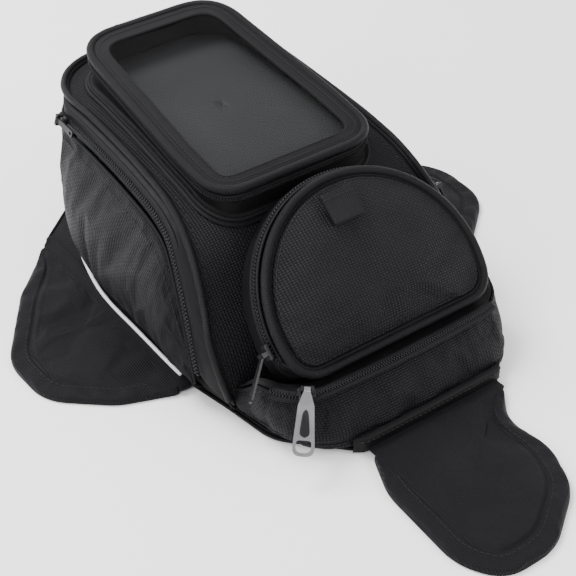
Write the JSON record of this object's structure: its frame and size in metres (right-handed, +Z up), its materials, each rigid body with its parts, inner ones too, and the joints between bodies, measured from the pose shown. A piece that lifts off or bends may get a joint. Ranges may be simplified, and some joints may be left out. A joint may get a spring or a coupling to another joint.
{
  "type": "motorcycle tank bag",
  "caption": "Soft zipped bag held on a fuel tank by magnetic flaps, with a clear-topped phone pouch and pockets at the front and sides.",
  "frame": {"origin": "on the underside of the base, below the middle of the body between the side pockets", "axes": "+X to the rider's right, +Y away from the tongue towards the back of the phone pouch, +Z up"},
  "size_m": [0.3508, 0.4365, 0.1355],
  "materials": {
    "coarse_weave": "coarse ballistic weave with a slight sheen",
    "smooth_nylon": "smooth woven nylon",
    "binding_tape": "binding tape folded over a cord",
    "fine_weave": "fine woven polyester",
    "grip_lining": "soft non-slip lining",
    "foam_padding": "closed-cell foam sheet",
    "stiffener_board": "moulded board",
    "clear_film": "clear flexible film",
    "zip_coil": "nylon coil on woven tape",
    "webbing": "ribbed webbing",
    "reflective_cord": "silver reflective covered cord",
    "dark_metal": "black coated zinc",
    "silver_metal": "bright plated zinc",
    "ferrite_magnet": "dull sintered magnet"
  },
  "bodies": {
    "bag": {"underside_panel": "grip_lining", "bottom_panel": "smooth_nylon", "base_board": "stiffener_board", "left_side_panel": "smooth_nylon", "right_side_panel": "smooth_nylon", "back_panel": "smooth_nylon", "top_panel": "coarse_weave", "top_edge_piping": "binding_tape", "left_reflective_piping": "reflective_cord", "right_reflective_piping": "reflective_cord", "left_side_zip": "zip_coil", "right_side_zip": "zip_coil", "lid_zip": "zip_coil", "d_pocket_gusset": "smooth_nylon", "d_pocket_zip": "zip_coil", "lower_pocket_face": "coarse_weave", "lower_pocket_roof": "smooth_nylon", "lower_pocket_zip": "zip_coil", "front_band": "smooth_nylon"},
    "left_wing": {"left_wing_lining": "grip_lining", "left_wing_padding": "foam_padding", "left_wing_top": "fine_weave", "left_wing_magnet_1": "ferrite_magnet", "left_wing_magnet_2": "ferrite_magnet"},
    "right_wing": {"right_wing_lining": "grip_lining", "right_wing_padding": "foam_padding", "right_wing_top": "fine_weave", "right_wing_magnet_1": "ferrite_magnet", "right_wing_magnet_2": "ferrite_magnet"},
    "tongue": {"tongue_lining": "grip_lining", "tongue_padding": "foam_padding", "tongue_top": "fine_weave", "tongue_magnet_1": "ferrite_magnet", "tongue_magnet_2": "ferrite_magnet"},
    "main_lid": {"lid_panel": "smooth_nylon", "pouch_wall": "smooth_nylon", "window_zip": "zip_coil"},
    "window_lid": {"window_frame": "binding_tape", "window_film": "clear_film", "rim_piping": "binding_tape"},
    "d_cover": {"d_pocket_cover": "coarse_weave", "d_pocket_piping": "binding_tape", "webbing_loop": "webbing"},
    "left_cover": {"left_pocket_cover": "coarse_weave"},
    "right_cover": {"right_pocket_cover": "coarse_weave"},
    "left_zip_slider": {"left_pocket_slider": "dark_metal"},
    "left_zip_pull": {"left_pocket_pull": "dark_metal"},
    "right_zip_slider": {"right_pocket_slider": "dark_metal"},
    "right_zip_pull": {"right_pocket_pull": "dark_metal"},
    "lower_zip_slider": {"lower_pocket_slider": "dark_metal"},
    "lower_zip_pull": {"lower_pocket_pull": "silver_metal"},
    "d_zip_slider": {"d_pocket_slider": "dark_metal"},
    "d_zip_pull": {"d_pocket_pull": "dark_metal"},
    "window_zip_slider": {"window_slider": "dark_metal"},
    "window_zip_pull": {"window_pull": "dark_metal"},
    "lid_zip_slider": {"lid_slider": "dark_metal"},
    "lid_zip_pull": {"lid_pull": "dark_metal"}
  },
  "joints": [
    {"name": "left_wing_fold", "type": "hinge", "parent": "bag", "child": "left_wing", "pos_m": [-0.102, 0.04, 0.0028], "axis": [0, -1, 0], "range_deg": [-70, 35]},
    {"name": "right_wing_fold", "type": "hinge", "parent": "bag", "child": "right_wing", "pos_m": [0.102, 0.04, 0.0028], "axis": [0, 1, 0], "range_deg": [-70, 35]},
    {"name": "tongue_fold", "type": "hinge", "parent": "bag", "child": "tongue", "pos_m": [0.006, -0.1525, 0.0028], "axis": [1, 0, 0], "range_deg": [-85, 35]},
    {"name": "main_lid_hinge", "type": "hinge", "parent": "bag", "child": "main_lid", "pos_m": [0, 0.152, 0.111], "axis": [-1, 0, 0], "range_deg": [0, 45]},
    {"name": "window_lid_hinge", "type": "hinge", "parent": "main_lid", "child": "window_lid", "pos_m": [0, 0.149, 0.13293], "axis": [-1, 0, 0], "range_deg": [0, 110]},
    {"name": "d_cover_hinge", "type": "hinge", "parent": "bag", "child": "d_cover", "pos_m": [0.005, -0.11172, 0.04328], "axis": [1, 0, 0], "range_deg": [0, 50]},
    {"name": "left_cover_hinge", "type": "hinge", "parent": "bag", "child": "left_cover", "pos_m": [-0.0985, 0, 0.0125], "axis": [0, -1, 0], "range_deg": [0, 40]},
    {"name": "right_cover_hinge", "type": "hinge", "parent": "bag", "child": "right_cover", "pos_m": [0.0985, 0, 0.0125], "axis": [0, 1, 0], "range_deg": [0, 40]},
    {"name": "left_slider_run", "type": "slide", "parent": "bag", "child": "left_zip_slider", "axis": [-0.0247, -0.9995, -0.0197], "range_m": [0, 0.06]},
    {"name": "left_pull_swing", "type": "hinge", "parent": "left_zip_slider", "child": "left_zip_pull", "pos_m": [-0.08519, 0.12233, 0.10069], "axis": [-0.2962, 0.0056, -0.9551], "range_deg": [0, 110]},
    {"name": "right_slider_run", "type": "slide", "parent": "bag", "child": "right_zip_slider", "axis": [-0.1849, 0.5892, 0.7865], "range_m": [-0.01, 0.01]},
    {"name": "right_pull_swing", "type": "hinge", "parent": "right_zip_slider", "child": "right_zip_pull", "pos_m": [0.10002, -0.03524, 0.06398], "axis": [-0.2694, -0.8001, 0.536], "range_deg": [0, 110]},
    {"name": "lower_slider_run", "type": "slide", "parent": "bag", "child": "lower_zip_slider", "axis": [0.9966, -0.0826, 0], "range_m": [0, 0.065]},
    {"name": "lower_pull_swing", "type": "hinge", "parent": "lower_zip_slider", "child": "lower_zip_pull", "pos_m": [-0.06846, -0.12249, 0.04439], "axis": [-0.8008, 0.593, 0.0847], "range_deg": [0, 110]},
    {"name": "d_slider_run", "type": "hinge", "parent": "bag", "child": "d_zip_slider", "pos_m": [0.005, -0.08767, 0.0556], "axis": [0, 0.7071, -0.7071], "range_deg": [0, 165]},
    {"name": "d_pull_swing", "type": "hinge", "parent": "d_zip_slider", "child": "d_zip_pull", "pos_m": [-0.07742, -0.09174, 0.05152], "axis": [0, 0.7071, -0.7071], "range_deg": [0, 60]},
    {"name": "window_slider_run", "type": "slide", "parent": "main_lid", "child": "window_zip_slider", "axis": [1, 0, 0], "range_m": [0, 0.034]},
    {"name": "window_pull_swing", "type": "hinge", "parent": "window_zip_slider", "child": "window_zip_pull", "pos_m": [-0.018, 0.1576, 0.12673], "axis": [0, 0, 1], "range_deg": [0, 150]},
    {"name": "lid_slider_run", "type": "slide", "parent": "bag", "child": "lid_zip_slider", "axis": [0.052, -0.9982, -0.03], "range_m": [-0.01, 0.01]},
    {"name": "lid_pull_swing", "type": "hinge", "parent": "lid_zip_slider", "child": "lid_zip_pull", "pos_m": [0.05901, 0.10984, 0.1178], "axis": [0.9986, 0.052, 0], "range_deg": [0, 150]}
  ]
}
